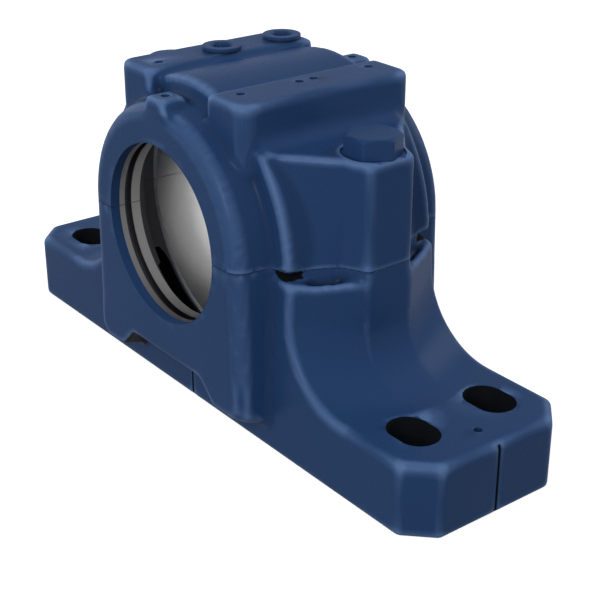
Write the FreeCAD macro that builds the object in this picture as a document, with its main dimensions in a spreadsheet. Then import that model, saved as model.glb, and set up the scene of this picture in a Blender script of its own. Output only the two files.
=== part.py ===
import FreeCAD, Part
import math
import os
import Sketcher

# Split plummer block: a housing in two castings for a bearing on a 50 mm shaft.
# X runs along the base, Y along the shaft and Z up. The origin lies on the floor,
# in the middle of the base, so the shaft centre is at (0, 0, centre_height).

os.makedirs("parts", exist_ok=True)
doc = FreeCAD.newDocument("SplitPlummerBlock")
sheet = doc.addObject("Spreadsheet::Sheet", "Sizes")

SIZES = {
    # base plate and its four slots
    "base_length": 255.0,
    "base_width": 70.0,
    "foot_height": 27.4,
    "corner_cut": 10.0,
    "slot_inset_x": 22.5,
    "slot_inset_y": 17.5,
    "slot_length": 20.0,
    "slot_width": 15.0,
    "edge_round": 2.5,
    # pockets cored out of the underside, and the metal left round them
    "pocket_inner": 14.0,
    "pocket_end_wall": 5.0,
    "pocket_side_wall": 8.0,
    "pocket_draft": 2.5,
    "pocket_step": 6.5,
    "pocket_slope": 5.0,
    "pocket_round": 5.0,
    "foot_floor": 8.4,
    "tap_floor": 9.6,
    "shell_wall": 8.0,
    # columns that carry the cap, seen from above at the split
    "centre_height": 70.0,
    "column_ledge": 1.0,
    "column_inset": 2.5,
    "column_sweep": 29.0,
    "boss_reach": 10.4,
    "boss_width": 19.2,
    "boss_sweep": 22.0,
    "ledge_drop": 3.7,
    "ledge_rim": 3.0,
    "scoop_depth": 3.0,
    # end rings round the shaft
    "ring_length": 94.0,
    "ring_radius": 46.8,
    "ring_draft": 0.1,
    "ring_sink": 4.0,
    "ring_spread": 2.0,
    "ring_bevel": 3.0,
    "ring_foot": 13.8,
    "ring_foot_draft": 0.4,
    "notch_width": 60.0,
    "notch_height": 7.7,
    "tab_width": 9.0,
    "tab_spread": 7.0,
    "tab_height": 3.6,
    "tab_depth": 10.5,
    # bore from end to end
    "seat_diameter": 100.0,
    "seat_width": 33.0,
    "seat_bevel": 0.8,
    "chamber_step": 1.0,
    "chamber_length": 49.0,
    "throat_diameter": 80.0,
    "throat_wall": 4.0,
    "mouth_diameter": 66.8,
    "land_width": 3.8,
    "groove_depth": 3.1,
    "groove_width": 2.8,
    "mouth_width": 6.0,
    "sump_depth": 5.0,
    "sump_height": 44.0,
    "sump_wall": 2.5,
    "sump_length": 10.5,
    # cap
    "barrel_wall": 5.0,
    "wing_wall": 7.0,
    "shelf_height": 108.3,
    "valley_shift": 0.5,
    "valley_width": 28.0,
    "flank_width": 49.0,
    "shelf_flank_x": 42.5,
    "valley_round": 6.0,
    "boss_round": 3.0,
    "pad_gap": 36.0,
    "pad_width": 21.0,
    "pad_length": 74.6,
    "pad_drop": 0.5,
    "pad_corner": 5.5,
    "pad_bevel": 1.2,
    "cove_radius": 6.0,
    # cap bolts, dowels and their holes
    "bolt_diameter": 12.0,
    "bolt_reach": 23.4,
    "bolt_bevel": 1.2,
    "bolt_clearance": 0.75,
    "bolt_wall": 3.75,
    "thread_clearance": 0.15,
    "thread_runout": 3.0,
    "head_flats": 18.0,
    "head_height": 7.5,
    "head_bevel": 0.5,
    "spot_clearance": 0.8,
    "spot_depth": 0.8,
    "dowel_diameter": 5.0,
    "dowel_length": 13.0,
    "dowel_bevel": 0.5,
    "dowel_wall": 3.2,
    "dowel_y": 14.5,
    "dowel_clearance": 0.1,
    "dowel_end_gap": 1.0,
    # lubrication plugs and their sealing rings
    "plug_inset": 8.0,
    "plug_margin": 9.3,
    "plug_thread": 10.0,
    "plug_length": 7.0,
    "plug_end_gap": 0.5,
    "collar_diameter": 14.8,
    "collar_height": 1.3,
    "collar_bevel": 0.4,
    "socket_flats": 7.0,
    "socket_depth": 4.0,
    "seal_thickness": 0.5,
    "oilway_diameter": 6.0,
    # marks and levers
    "pry_width": 7.0,
    "pry_depth": 6.5,
    "pry_height": 3.2,
    "mark_width": 1.0,
    "mark_depth": 0.5,
    "dimple_diameter": 3.2,
    "dimple_depth": 1.4,
    "foot_dimple_inset": 10.2,
    "pad_dimple_inset": 7.5,
    "pad_dimple_margin": 9.3,
    "pad_dimple_gap": 6.2,
}


class Rule:
    """A size worked out from the sheet: the text binds a property, the value guides the code."""

    def __init__(self, text, value):
        self.text = text
        self.value = value

    def __add__(self, other):
        other = rule(other)
        return Rule(f"({self.text} + {other.text})", self.value + other.value)

    def __sub__(self, other):
        other = rule(other)
        return Rule(f"({self.text} - {other.text})", self.value - other.value)

    def __mul__(self, other):
        other = rule(other)
        return Rule(f"({self.text} * {other.text})", self.value * other.value)

    def __truediv__(self, other):
        other = rule(other)
        return Rule(f"({self.text} / {other.text})", self.value / other.value)

    def __neg__(self):
        return Rule(f"(0 - {self.text})", -self.value)

    def __rsub__(self, other):
        return rule(other) - self

    __radd__ = __add__
    __rmul__ = __mul__


def rule(number):
    return number if isinstance(number, Rule) else Rule(repr(float(number)), float(number))


class Names:
    pass


S = Names()
for row, (alias, number) in enumerate(SIZES.items(), start=1):
    sheet.set(f"A{row}", alias)
    sheet.set(f"B{row}", str(number))
    sheet.setAlias(f"B{row}", alias)
    setattr(S, alias, Rule(f"Sizes.{alias}", number))
doc.recompute()

# Places worked out from the sizes
ORIGIN = rule(0)
half_base = S.base_length / 2
half_width = S.base_width / 2
half_depth = half_width - S.column_inset
column_depth = half_depth * 2
half_ring = S.ring_length / 2
ledge_z = S.centre_height - S.ledge_drop
seat_radius = S.seat_diameter / 2
seat_half = S.seat_width / 2
chamber_radius = seat_radius + S.chamber_step
barrel_radius = seat_radius + S.barrel_wall
wing_radius = seat_radius + S.wing_wall
half_column = wing_radius + S.column_ledge
bolt_hole_radius = S.bolt_diameter / 2 + S.bolt_clearance
bolt_x = chamber_radius + S.bolt_wall + bolt_hole_radius
half_boss = bolt_x + S.boss_reach
slot_x = half_base - S.slot_inset_x
slot_y = half_width - S.slot_inset_y
seat_z = S.shelf_height - S.spot_depth
pad_height = S.centre_height + barrel_radius - S.pad_drop

# A cutter runs past the surface that it opens by OVERRUN, and round the part by ROOM.
OVERRUN = 1
ROOM = 20
# Lengths closer than HAIR count as one.
HAIR = 0.01

ALONG_Y = FreeCAD.Rotation(FreeCAD.Vector(1, 0, 0), -90)
UPRIGHT = FreeCAD.Rotation(FreeCAD.Vector(1, 0, 0), 90)
FLAT = FreeCAD.Rotation()


def place(item, x, y, z, turn=FLAT):
    """Put an object at a point given by rules, turned as asked."""
    item.Placement = FreeCAD.Placement(FreeCAD.Vector(0, 0, 0), turn)
    for axis, amount in zip("xyz", (x, y, z)):
        item.setExpression(f"Placement.Base.{axis}", rule(amount).text)
    return item


def box(name, length, width, height, x, y, z):
    """A block from its corner of least x, y and z."""
    item = doc.addObject("Part::Box", name)
    item.setExpression("Length", rule(length).text)
    item.setExpression("Width", rule(width).text)
    item.setExpression("Height", rule(height).text)
    return place(item, x, y, z)


def rod(name, radius, height, x, y, z, turn=FLAT):
    item = doc.addObject("Part::Cylinder", name)
    item.setExpression("Radius", rule(radius).text)
    item.setExpression("Height", rule(height).text)
    return place(item, x, y, z, turn)


def cone(name, radius, end_radius, height, x, y, z, turn=FLAT):
    item = doc.addObject("Part::Cone", name)
    item.setExpression("Radius1", rule(radius).text)
    item.setExpression("Radius2", rule(end_radius).text)
    item.setExpression("Height", rule(height).text)
    return place(item, x, y, z, turn)


def hexagon(name, flats, height, x, y, z):
    """A hexagonal bar with a corner towards +X."""
    item = doc.addObject("Part::Prism", name)
    item.Polygon = 6
    item.setExpression("Circumradius", (flats / math.sqrt(3)).text)
    item.setExpression("Height", rule(height).text)
    return place(item, x, y, z)


def outline(name, corners, x, y, z, turn=FLAT, rounds=None):
    """A closed sketch with each corner, and each corner's radius, tied to the sheet."""
    rounds = rounds or {}
    sketch = doc.addObject("Sketcher::SketchObject", name)
    place(sketch, x, y, z, turn)
    points = [FreeCAD.Vector(rule(a).value, rule(b).value, 0) for a, b in corners]
    count = len(points)
    arrive, leave = list(points), list(points)
    for corner, radius in rounds.items():
        back = (points[corner - 1] - points[corner]).normalize()
        ahead = (points[(corner + 1) % count] - points[corner]).normalize()
        reach = rule(radius).value / math.tan(back.getAngle(ahead) / 2)
        arrive[corner] = points[corner] + back * reach
        leave[corner] = points[corner] + ahead * reach
    for side in range(count):
        sketch.addGeometry(Part.LineSegment(leave[side], arrive[(side + 1) % count]))
    for side in range(count):
        if side not in rounds:
            sketch.addConstraint(Sketcher.Constraint("Coincident", (side - 1) % count, 2, side, 1))
            pin_point(sketch, side, corners[side])
    for corner, radius in rounds.items():
        round_corner(sketch, corner, points, arrive[corner], leave[corner], rule(radius))
        pin_point(sketch, sketch.GeometryCount - 1, corners[corner])
    return sketch


def pin_point(sketch, item, corner):
    """Tie the first point of an item of the sketch to a pair of rules."""
    for kind, amount in zip(("DistanceX", "DistanceY"), corner):
        index = sketch.addConstraint(Sketcher.Constraint(kind, -1, 1, item, 1, rule(amount).value))
        sketch.setExpression(f"Constraints[{index}]", rule(amount).text)


def round_corner(sketch, corner, points, start, finish, radius):
    """An arc between two sides that keeps their corner as a construction point."""
    before, after = (corner - 1) % len(points), corner
    towards = ((start - points[corner]) + (finish - points[corner])).normalize()
    span = (start - points[corner]).Length
    centre = points[corner] + towards * math.hypot(span, radius.value)
    bend = centre - towards * radius.value
    arc = sketch.addGeometry(Part.Arc(start, bend, finish))
    turns_left = (bend - start).cross(finish - bend).z > 0
    first, last = (1, 2) if turns_left else (2, 1)
    sketch.addConstraint(Sketcher.Constraint("Tangent", before, 2, arc, first))
    sketch.addConstraint(Sketcher.Constraint("Tangent", arc, last, after, 1))
    index = sketch.addConstraint(Sketcher.Constraint("Radius", arc, radius.value))
    sketch.setExpression(f"Constraints[{index}]", radius.text)
    mark = sketch.addGeometry(Part.Point(points[corner]), True)
    sketch.addConstraint(Sketcher.Constraint("PointOnObject", mark, 1, before))
    sketch.addConstraint(Sketcher.Constraint("PointOnObject", mark, 1, after))


def extrude(name, sketch, height):
    item = doc.addObject("Part::Extrusion", name)
    item.Base = sketch
    item.DirMode = "Normal"
    item.Solid = True
    item.setExpression("LengthFwd", rule(height).text)
    return item


def loft(name, sections):
    item = doc.addObject("Part::Loft", name)
    item.Sections = sections
    item.Solid = True
    item.Ruled = True
    return item


def fuse(name, pieces):
    item = doc.addObject("Part::MultiFuse", name)
    item.Shapes = pieces
    item.Refine = True
    return item


def cut(name, base, tool):
    item = doc.addObject("Part::Cut", name)
    item.Base = base
    item.Tool = tool
    item.Refine = True
    return item


def common(name, base, tool):
    item = doc.addObject("Part::Common", name)
    item.Base = base
    item.Tool = tool
    return item


def rounded(name, base, radius, wanted, kind="Part::Fillet"):
    """Round or bevel the edges of base for which wanted(edge) holds."""
    doc.recompute()
    item = doc.addObject(kind, name)
    item.Base = base
    picked = [place_of + 1 for place_of, edge in enumerate(base.Shape.Edges) if wanted(edge)]
    item.Edges = [(index, radius.value, radius.value) for index in picked]
    return item


def near(first, second):
    return abs(first - second) < HAIR


def spans(edge):
    """Lengths of an edge's box along X, Y and Z."""
    limits = edge.BoundBox
    return limits.XLength, limits.YLength, limits.ZLength


def is_upright(edge):
    across, along, up = spans(edge)
    return across < HAIR and along < HAIR and up > HAIR


# Base: the columns are a ruled body whose side outline changes from a wide sweep
# at the long sides to a tighter one at the boss of each cap bolt. The long sides
# lean inwards above the feet.
lean = math.degrees(math.atan2(half_width.value - half_depth.value, S.centre_height.value - S.foot_height.value))


def side_outline(name, y, half_top, sweep, lean_angle=0):
    low = -S.foot_height / 2
    top = ledge_z - S.foot_height + OVERRUN
    far = half_top + sweep + OVERRUN
    corners = [
        (-far, low), (far, low), (far, ORIGIN), (half_top, ORIGIN), (half_top, top),
        (-half_top, top), (-half_top, ORIGIN), (-far, ORIGIN),
    ]
    turn = FreeCAD.Rotation(FreeCAD.Vector(1, 0, 0), 90 + lean_angle)
    return outline(name, corners, 0, y, S.foot_height, turn, {3: sweep, 6: sweep})


boss_half = S.boss_width / 2
columns = loft("columns", [
    side_outline("side_front", -half_width, half_column, S.column_sweep, -lean),
    side_outline("boss_front", -boss_half, half_boss, S.boss_sweep),
    side_outline("boss_back", boss_half, half_boss, S.boss_sweep),
    side_outline("side_back", half_width, half_column, S.column_sweep, lean),
])


def is_column_corner(edge):
    """The sweeps' outer edges and the upright corners of both long sides."""
    limits = edge.BoundBox
    on_side = limits.YMax < -half_depth.value + HAIR or limits.YMin > half_depth.value - HAIR
    rises = spans(edge)[2] > HAIR and limits.ZMin > S.foot_height.value - HAIR
    return on_side and rises


columns_rounded = rounded("columns_rounded", columns, S.edge_round, is_column_corner)
plate = box("plate", S.base_length, S.base_width, S.foot_height, -half_base, -half_width, 0)
plate_cut = rounded("plate_cut", plate, S.corner_cut, is_upright, "Part::Chamfer")
plate_rounded = rounded("plate_rounded", plate_cut, S.edge_round,
                        lambda edge: near(edge.BoundBox.ZMin, S.foot_height.value))
column_room = box("column_room", S.base_length, S.base_width, ledge_z, -half_base, -half_width, 0)
columns_trimmed = common("columns_trimmed", columns_rounded, column_room)
base_block = fuse("base_block", [plate_rounded, columns_trimmed])

# The ledge round the mating face is sunk, behind a rim along the columns' outer edge.
slope = (half_boss - half_column) / (half_width - boss_half)
rim_x = S.ledge_rim * math.hypot(1, slope.value)
scoop_y = half_depth - S.ledge_rim - S.edge_round


def on_rim(y):
    """X of the scoop's outer edge, which follows the columns' slanted side."""
    return half_column + (half_width - y) * slope - rim_x


scoop_side = boss_half - rim_x / 2
scoop_outline = outline("scoop_outline", [
    (-on_rim(scoop_y), -scoop_y), (on_rim(scoop_y), -scoop_y), (on_rim(scoop_side), -scoop_side),
    (on_rim(scoop_side), scoop_side), (on_rim(scoop_y), scoop_y), (-on_rim(scoop_y), scoop_y),
    (-on_rim(scoop_side), scoop_side), (-on_rim(scoop_side), -scoop_side),
], 0, 0, ledge_z - S.scoop_depth)
scoop = extrude("scoop", scoop_outline, S.scoop_depth + OVERRUN)


# Bosses round the cap bolts: straight outer faces, hollow flanks towards the barrel.
def boss_plan(name, z, flank_x, flank_y):
    root = S.shelf_flank_x - S.valley_round
    valley_x = bolt_x + S.valley_shift
    valley_y = S.valley_width / 2
    rounds = {2: S.valley_round, 3: S.boss_round, 4: S.boss_round, 5: S.valley_round}
    return outline(name, [
        (root, -flank_y), (flank_x, -flank_y), (valley_x, -valley_y), (half_boss, -boss_half),
        (half_boss, boss_half), (valley_x, valley_y), (flank_x, flank_y), (root, flank_y),
    ], 0, 0, z, FLAT, rounds)


def both_sides(name, piece):
    """The piece and its twin at the other end of the base."""
    twin = doc.addObject("Part::Mirroring", name + "_twin")
    twin.Source = piece
    twin.Normal = FreeCAD.Vector(1, 0, 0)
    return [piece, twin]


def front_and_back(name, piece):
    """The piece and its twin at the other end of the shaft."""
    twin = doc.addObject("Part::Mirroring", name + "_back")
    twin.Source = piece
    twin.Normal = FreeCAD.Vector(0, 1, 0)
    return [piece, twin]


flank_y = S.flank_width / 2
land_low = ledge_z - S.scoop_depth - OVERRUN
land_plan = boss_plan("land_plan", land_low, wing_radius, flank_y)
land_boss = extrude("land_boss", land_plan, S.centre_height - land_low)
land_block = rounded("land_block", box(
    "land_rough", wing_radius * 2, column_depth, S.centre_height - land_low,
    -wing_radius, -half_depth, land_low), S.edge_round, is_upright)


# End rings: arches that grow towards the columns, with a notched foot clear of the floor.
def arch(name, y, reach):
    grown = S.ring_radius + reach * S.ring_draft
    foot = S.ring_foot - reach * S.ring_foot_draft
    crown = S.centre_height + grown
    side = grown + S.ring_spread
    return outline(name, [
        (S.ring_bevel - side, foot), (side - S.ring_bevel, foot), (side, foot + S.ring_bevel),
        (grown, S.centre_height), (grown, crown), (-grown, crown), (-grown, S.centre_height),
        (-side, foot + S.ring_bevel),
    ], 0, y, 0, UPRIGHT, {4: grown - HAIR, 5: grown - HAIR})


ring_root = half_depth - S.ring_sink
ring_rough = loft("ring_rough", [
    arch("arch_outer", -half_ring, rule(0)), arch("arch_root", -ring_root, half_ring - ring_root)])


def is_ring_lip(edge):
    limits = edge.BoundBox
    flat_on_face = near(limits.YMin, -half_ring.value) and near(limits.YMax, -half_ring.value)
    return flat_on_face and limits.ZMax > S.ring_foot.value + HAIR


ring = rounded("ring", ring_rough, S.ring_bevel, is_ring_lip, "Part::Chamfer")
rings = front_and_back("ring", ring)

notch_half = S.notch_width / 2
notch_outline = outline("notch_outline", [
    (-notch_half - S.ring_foot, ORIGIN), (notch_half + S.ring_foot, ORIGIN),
    (notch_half - S.notch_height, S.ring_foot + S.notch_height),
    (S.notch_height - notch_half, S.ring_foot + S.notch_height),
], 0, -half_width, 0, UPRIGHT)
notch = extrude("notch", notch_outline, half_ring - half_width + OVERRUN)
notched = cut("ring_notched", ring, notch)
base_rings = front_and_back("ring_notched", notched)

# Bore, turned about the shaft: mouths, lands, seal grooves, throats, chambers and seat.
mouth_radius = S.mouth_diameter / 2
groove_radius = mouth_radius + S.groove_depth
throat_radius = S.throat_diameter / 2
mouth_end = half_ring - S.mouth_width
groove_end = mouth_end - S.groove_width
land_end = groove_end - S.land_width
bore_steps = [
    (mouth_radius, half_ring + OVERRUN), (mouth_radius, mouth_end),
    (groove_radius, mouth_end), (groove_radius, groove_end),
    (mouth_radius, groove_end), (mouth_radius, land_end),
    (throat_radius, land_end), (throat_radius, half_depth - S.throat_wall),
    (chamber_radius, S.chamber_length / 2), (chamber_radius, seat_half + S.seat_bevel),
    (seat_radius, seat_half),
]
bore_outline = outline(
    "bore_outline",
    [(ORIGIN, half_ring + OVERRUN)] + bore_steps + [(r, -y) for r, y in reversed(bore_steps)]
    + [(ORIGIN, -half_ring - OVERRUN)],
    0, 0, S.centre_height)
bore = doc.addObject("Part::Revolution", "bore")
bore.Source = bore_outline
bore.Axis = FreeCAD.Vector(0, 1, 0)
bore.Angle = 360
bore.Solid = True
bore.setExpression("Base.z", S.centre_height.text)

sump_radius = chamber_radius + S.sump_depth
sump_y = half_depth - S.sump_wall
sump_round = rod("sump_round", sump_radius, S.sump_length, 0, -sump_y, S.centre_height, ALONG_Y)
sump_room = box("sump_room", sump_radius * 2, sump_y * 2, S.sump_height, -sump_radius, -sump_y, 0)
sumps = front_and_back("sump", common("sump", sump_round, sump_room))

# Pockets: hollows under the columns, open to the floor, with a wall round the bore and the bolt.
tap_radius = S.bolt_diameter / 2 + S.thread_clearance
bolt_tip = S.centre_height - S.bolt_reach
tap_low = bolt_tip - S.thread_runout
pocket_half = half_width - S.pocket_side_wall
pocket_outer = slot_x - S.slot_length / 2 - S.pocket_end_wall
pocket_low = S.foot_height - S.foot_floor
pocket_high = tap_low - S.tap_floor
pocket_step_x = bolt_x + S.pocket_step
pocket_outline = outline("pocket_outline", [
    (S.pocket_inner, -OVERRUN), (pocket_outer, -OVERRUN), (pocket_outer - S.pocket_draft, pocket_low),
    (pocket_step_x, pocket_low), (pocket_step_x - S.pocket_slope, pocket_high), (S.pocket_inner, pocket_high),
], 0, pocket_half, 0, UPRIGHT, {2: S.pocket_round, 4: S.pocket_round})
pocket_rough = extrude("pocket_rough", pocket_outline, pocket_half * 2)
shell = rod("shell", chamber_radius + S.shell_wall, S.base_width, 0, -half_width, S.centre_height, ALONG_Y)
pockets = both_sides("pocket", cut("pocket", pocket_rough, shell))


# Holes that both castings share: cap bolts, dowels and the bore.
def dimple(name, x, y, top):
    return rod(name, S.dimple_diameter / 2, S.dimple_depth + OVERRUN, x, y, top - S.dimple_depth)


def slot(name, x, y):
    """A bolt slot that runs along the base."""
    straight = S.slot_length - S.slot_width
    middle = box(name + "_middle", straight, S.slot_width, S.foot_height,
                 x - straight / 2, y - S.slot_width / 2, 0)
    ends = [rod(f"{name}_end_{way}", S.slot_width / 2, S.foot_height, x + straight / 2 * way, y, 0)
            for way in (-1, 1)]
    ends[0].Label, ends[1].Label = name + "_inner", name + "_outer"
    return fuse(name, [middle] + ends)


dowel_hole_radius = S.dowel_diameter / 2 + S.dowel_clearance
dowel_x = seat_radius + S.dowel_wall + dowel_hole_radius
dowel_low = S.centre_height - S.dowel_length / 2
ends = (("right", 1), ("left", -1))
faces = (("front", -1), ("back", 1))


def dowel_hole(name, way):
    return rod(name, dowel_hole_radius, S.dowel_length + S.dowel_end_gap * 2,
               dowel_x * way, S.dowel_y * -way, dowel_low - S.dowel_end_gap)


base_cuts = [bore] + sumps + pockets
for side, way in ends:
    base_cuts.append(rod(f"tap_{side}", tap_radius, S.centre_height - tap_low + OVERRUN, bolt_x * way, 0, tap_low))
    base_cuts.append(dowel_hole(f"dowel_hole_{side}", way))
    base_cuts.append(dimple(f"foot_dimple_{side}", (half_base - S.foot_dimple_inset) * way, 0, S.foot_height))
    mark_x = half_base * way - (S.mark_depth if way > 0 else ORIGIN)
    base_cuts.append(box(f"end_mark_{side}", S.mark_depth, S.mark_width, S.foot_height,
                         mark_x, -S.mark_width / 2, 0))
    for face, lean_way in faces:
        base_cuts.append(slot(f"slot_{side}_{face}", slot_x * way, slot_y * lean_way))
        pry_x = (wing_radius - S.pry_width) if way > 0 else -wing_radius - OVERRUN
        pry_y = (half_depth - S.pry_depth) if lean_way > 0 else -half_depth - OVERRUN
        base_cuts.append(box(f"pry_{side}_{face}", S.pry_width + OVERRUN, S.pry_depth + OVERRUN,
                             S.pry_height + OVERRUN, pry_x, pry_y, S.centre_height - S.pry_height))
for face, lean_way in faces:
    mark_y = half_width * lean_way - (S.mark_depth if lean_way > 0 else ORIGIN)
    base_cuts.append(box(f"side_mark_{face}", S.mark_width, S.mark_depth, S.foot_height,
                         -S.mark_width / 2, mark_y, 0))

base_scooped = cut("base_scooped", base_block, scoop)
base_solid = fuse("base_solid", [base_scooped, land_block] + both_sides("land_boss", land_boss) + base_rings)
base_whole = cut("base_whole", base_solid, fuse("base_cuts", base_cuts))
above_split = box("above_split", S.base_length, S.ring_length + ROOM, wing_radius * 2,
                  -half_base, -half_ring - ROOM / 2, S.centre_height)
base_casting = cut("base_casting", base_whole, above_split)

# Cap: barrel, wings down to the split, two pads along the top, bosses and end rings.
barrel = rounded("barrel", rod("barrel_rough", barrel_radius, column_depth, 0, -half_depth, S.centre_height,
                               ALONG_Y), S.pad_bevel, lambda edge: spans(edge)[1] < HAIR, "Part::Chamfer")
wing_rod = rod("wing_rod", wing_radius, column_depth, 0, -half_depth, S.centre_height, ALONG_Y)
wing_room = box("wing_room", wing_radius * 2 + ROOM, column_depth, S.shelf_height,
                -wing_radius - ROOM / 2, -half_depth, 0)
wing_rough = common("wing_rough", wing_rod, wing_room)


def is_wing_rim(edge):
    """The round ends of the wings and the shelf's edges along the shaft."""
    on_end = spans(edge)[1] < HAIR and spans(edge)[2] > HAIR
    on_shelf = near(edge.BoundBox.ZMin, S.shelf_height.value) and spans(edge)[1] > HAIR
    return on_end or on_shelf


wings = rounded("wings", wing_rough, S.pad_bevel, is_wing_rim, "Part::Chamfer")

cap_boss = loft("cap_boss", [
    boss_plan("cap_boss_low", S.centre_height, wing_radius, flank_y),
    boss_plan("cap_boss_high", S.shelf_height, S.shelf_flank_x, half_depth - S.edge_round)])

pad_half = S.pad_length / 2
pad_low = S.centre_height + S.ring_radius / 2
pad_inner = S.pad_gap / 2
pad_outer = pad_inner + S.pad_width


def is_pad_outer(edge):
    return is_upright(edge) and near(edge.BoundBox.XMin, pad_outer.value)


pad_rough = box("pad_rough", S.pad_width, S.pad_length, pad_height - pad_low, pad_inner, -pad_half, pad_low)
pad_cornered = rounded("pad_cornered", pad_rough, S.pad_corner, is_pad_outer)
pad = rounded("pad", pad_cornered, S.pad_bevel,
              lambda edge: near(edge.BoundBox.ZMin, pad_height.value), "Part::Chamfer")
cove_length = column_depth - S.edge_round * 2
cove_block = box("cove_block", S.cove_radius, cove_length, S.cove_radius,
                 pad_outer, -cove_length / 2, S.shelf_height)
cove_rod = rod("cove_rod", S.cove_radius, cove_length, pad_outer + S.cove_radius, -cove_length / 2,
               S.shelf_height + S.cove_radius, ALONG_Y)
cove = cut("cove", cove_block, cove_rod)

tab_top = S.centre_height + S.ring_radius + S.tab_height
tab_low = tab_top - S.tab_spread
tab_outline = outline("tab_outline", [
    (-S.tab_width / 2 - S.tab_spread / 2, tab_low), (S.tab_width / 2 + S.tab_spread / 2, tab_low),
    (S.tab_width / 2, tab_top), (-S.tab_width / 2, tab_top),
], 0, S.tab_depth - half_ring, 0, UPRIGHT)
tab = extrude("tab", tab_outline, S.tab_depth)

head_corner = S.head_flats / math.sqrt(3)
plug_hole_radius = S.plug_thread / 2 + S.thread_clearance
plug_x = pad_inner + S.plug_inset
plug_places = (("centre", ORIGIN), ("back", pad_half - S.plug_margin))
dimple_x = pad_inner + S.pad_dimple_inset
dimple_y = pad_half - S.pad_dimple_margin

cap_cuts = [bore]
for side, way in ends:
    cap_cuts.append(rod(f"bolt_hole_{side}", bolt_hole_radius, S.shelf_height, bolt_x * way, 0,
                        S.centre_height - OVERRUN))
    cap_cuts.append(rod(f"spot_{side}", head_corner + S.spot_clearance, S.cove_radius, bolt_x * way, 0, seat_z))
    cap_cuts.append(dowel_hole(f"cap_dowel_hole_{side}", way))
for place_name, y in plug_places:
    hole_depth = S.plug_length + S.plug_end_gap
    cap_cuts.append(rod(f"plug_hole_{place_name}", plug_hole_radius, hole_depth + OVERRUN,
                        -plug_x, y, pad_height - hole_depth))
    cap_cuts.append(rod(f"oilway_{place_name}", S.oilway_diameter / 2, pad_height - pad_low, -plug_x, y, pad_low))
for number, y in enumerate((-dimple_y, -S.pad_dimple_gap / 2, S.pad_dimple_gap / 2, dimple_y)):
    cap_cuts.append(dimple(f"pad_dimple_{number}", dimple_x, y, pad_height))
cap_cuts.append(dimple("pad_dimple_left", -dimple_x, -dimple_y, pad_height))
for face, lean_way in faces:
    cap_cuts.append(dimple(f"tab_dimple_{face}", 0, (half_ring - S.tab_depth / 2) * lean_way, tab_top))

cap_pieces = [barrel, wings] + rings + front_and_back("tab", tab)
for name, piece in (("cap_boss", cap_boss), ("pad", pad), ("cove", cove)):
    cap_pieces += both_sides(name, piece)
cap_solid = fuse("cap_solid", cap_pieces)
cap_whole = cut("cap_whole", cap_solid, fuse("cap_cuts", cap_cuts))
below_split = box("below_split", S.base_length, S.ring_length + ROOM, S.centre_height,
                  -half_base, -half_ring - ROOM / 2, 0)
cap_casting = cut("cap_casting", cap_whole, below_split)


# Cap bolts: hexagon heads with a bevelled top, shanks down into the base.
def cap_bolt(side, way):
    top_radius = S.head_flats / 2 - S.head_bevel
    head_bar = hexagon(f"head_bar_{side}", S.head_flats, S.head_height, bolt_x * way, 0, seat_z)
    head_cone = cone(f"head_cone_{side}", top_radius + S.head_height * math.sqrt(3), top_radius,
                     S.head_height, bolt_x * way, 0, seat_z)
    head = common(f"head_{side}", head_bar, head_cone)
    shank_rough = rod(f"shank_rough_{side}", S.bolt_diameter / 2, seat_z - bolt_tip, bolt_x * way, 0, bolt_tip)
    shank = rounded(f"shank_{side}", shank_rough, S.bolt_bevel,
                    lambda edge: near(edge.BoundBox.ZMax, bolt_tip.value), "Part::Chamfer")
    return fuse(f"cap_bolt_{side}", [head, shank])


def dowel(side, way):
    pin = rod(f"pin_{side}", S.dowel_diameter / 2, S.dowel_length, dowel_x * way, S.dowel_y * -way, dowel_low)
    return rounded(f"dowel_{side}", pin, S.dowel_bevel, lambda edge: spans(edge)[2] < HAIR, "Part::Chamfer")


# Lubrication plugs: a low collar on a sealing ring, with a hexagon socket.
collar_z = pad_height + S.seal_thickness
collar_top = collar_z + S.collar_height


def plug(name, y):
    collar_rough = rod(f"collar_rough_{name}", S.collar_diameter / 2, S.collar_height, -plug_x, y, collar_z)
    collar = rounded(f"collar_{name}", collar_rough, S.collar_bevel,
                     lambda edge: near(edge.BoundBox.ZMin, collar_top.value), "Part::Chamfer")
    stem = rod(f"stem_{name}", S.plug_thread / 2, S.plug_length + S.seal_thickness,
               -plug_x, y, pad_height - S.plug_length)
    socket = hexagon(f"socket_{name}", S.socket_flats, S.socket_depth + OVERRUN,
                     -plug_x, y, collar_top - S.socket_depth)
    return cut(f"plug_{name}", fuse(f"plug_blank_{name}", [collar, stem]), socket)


def seal_ring(name, y):
    disc = rod(f"disc_{name}", S.collar_diameter / 2 - S.collar_bevel, S.seal_thickness, -plug_x, y, pad_height)
    hole = rod(f"disc_hole_{name}", plug_hole_radius, S.seal_thickness, -plug_x, y, pad_height)
    return cut(f"seal_ring_{name}", disc, hole)


nodes = [base_casting, cap_casting]
for side, way in ends:
    nodes.append(cap_bolt(side, way))
    nodes.append(dowel(side, way))
for place_name, y in plug_places:
    nodes.append(plug(place_name, y))
    nodes.append(seal_ring(place_name, y))

doc.recompute()
faulty = [item.Label for item in doc.Objects if {"Invalid", "Error"} & set(item.State)]
if faulty:
    raise SystemExit(f"failed objects: {faulty}")
for node in nodes:
    if node.Shape.isNull() or not node.Shape.isValid() or len(node.Shape.Solids) != 1:
        raise SystemExit(f"{node.Label} is not one valid solid")
for node in nodes:
    node.Shape.exportStep(f"parts/{node.Label}.step")
    print(node.Label, round(node.Shape.Volume / 1000, 1), "cm3")
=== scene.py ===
import math
import bpy
import numpy as np
import openvdb
from mathutils import Matrix, Vector


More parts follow.
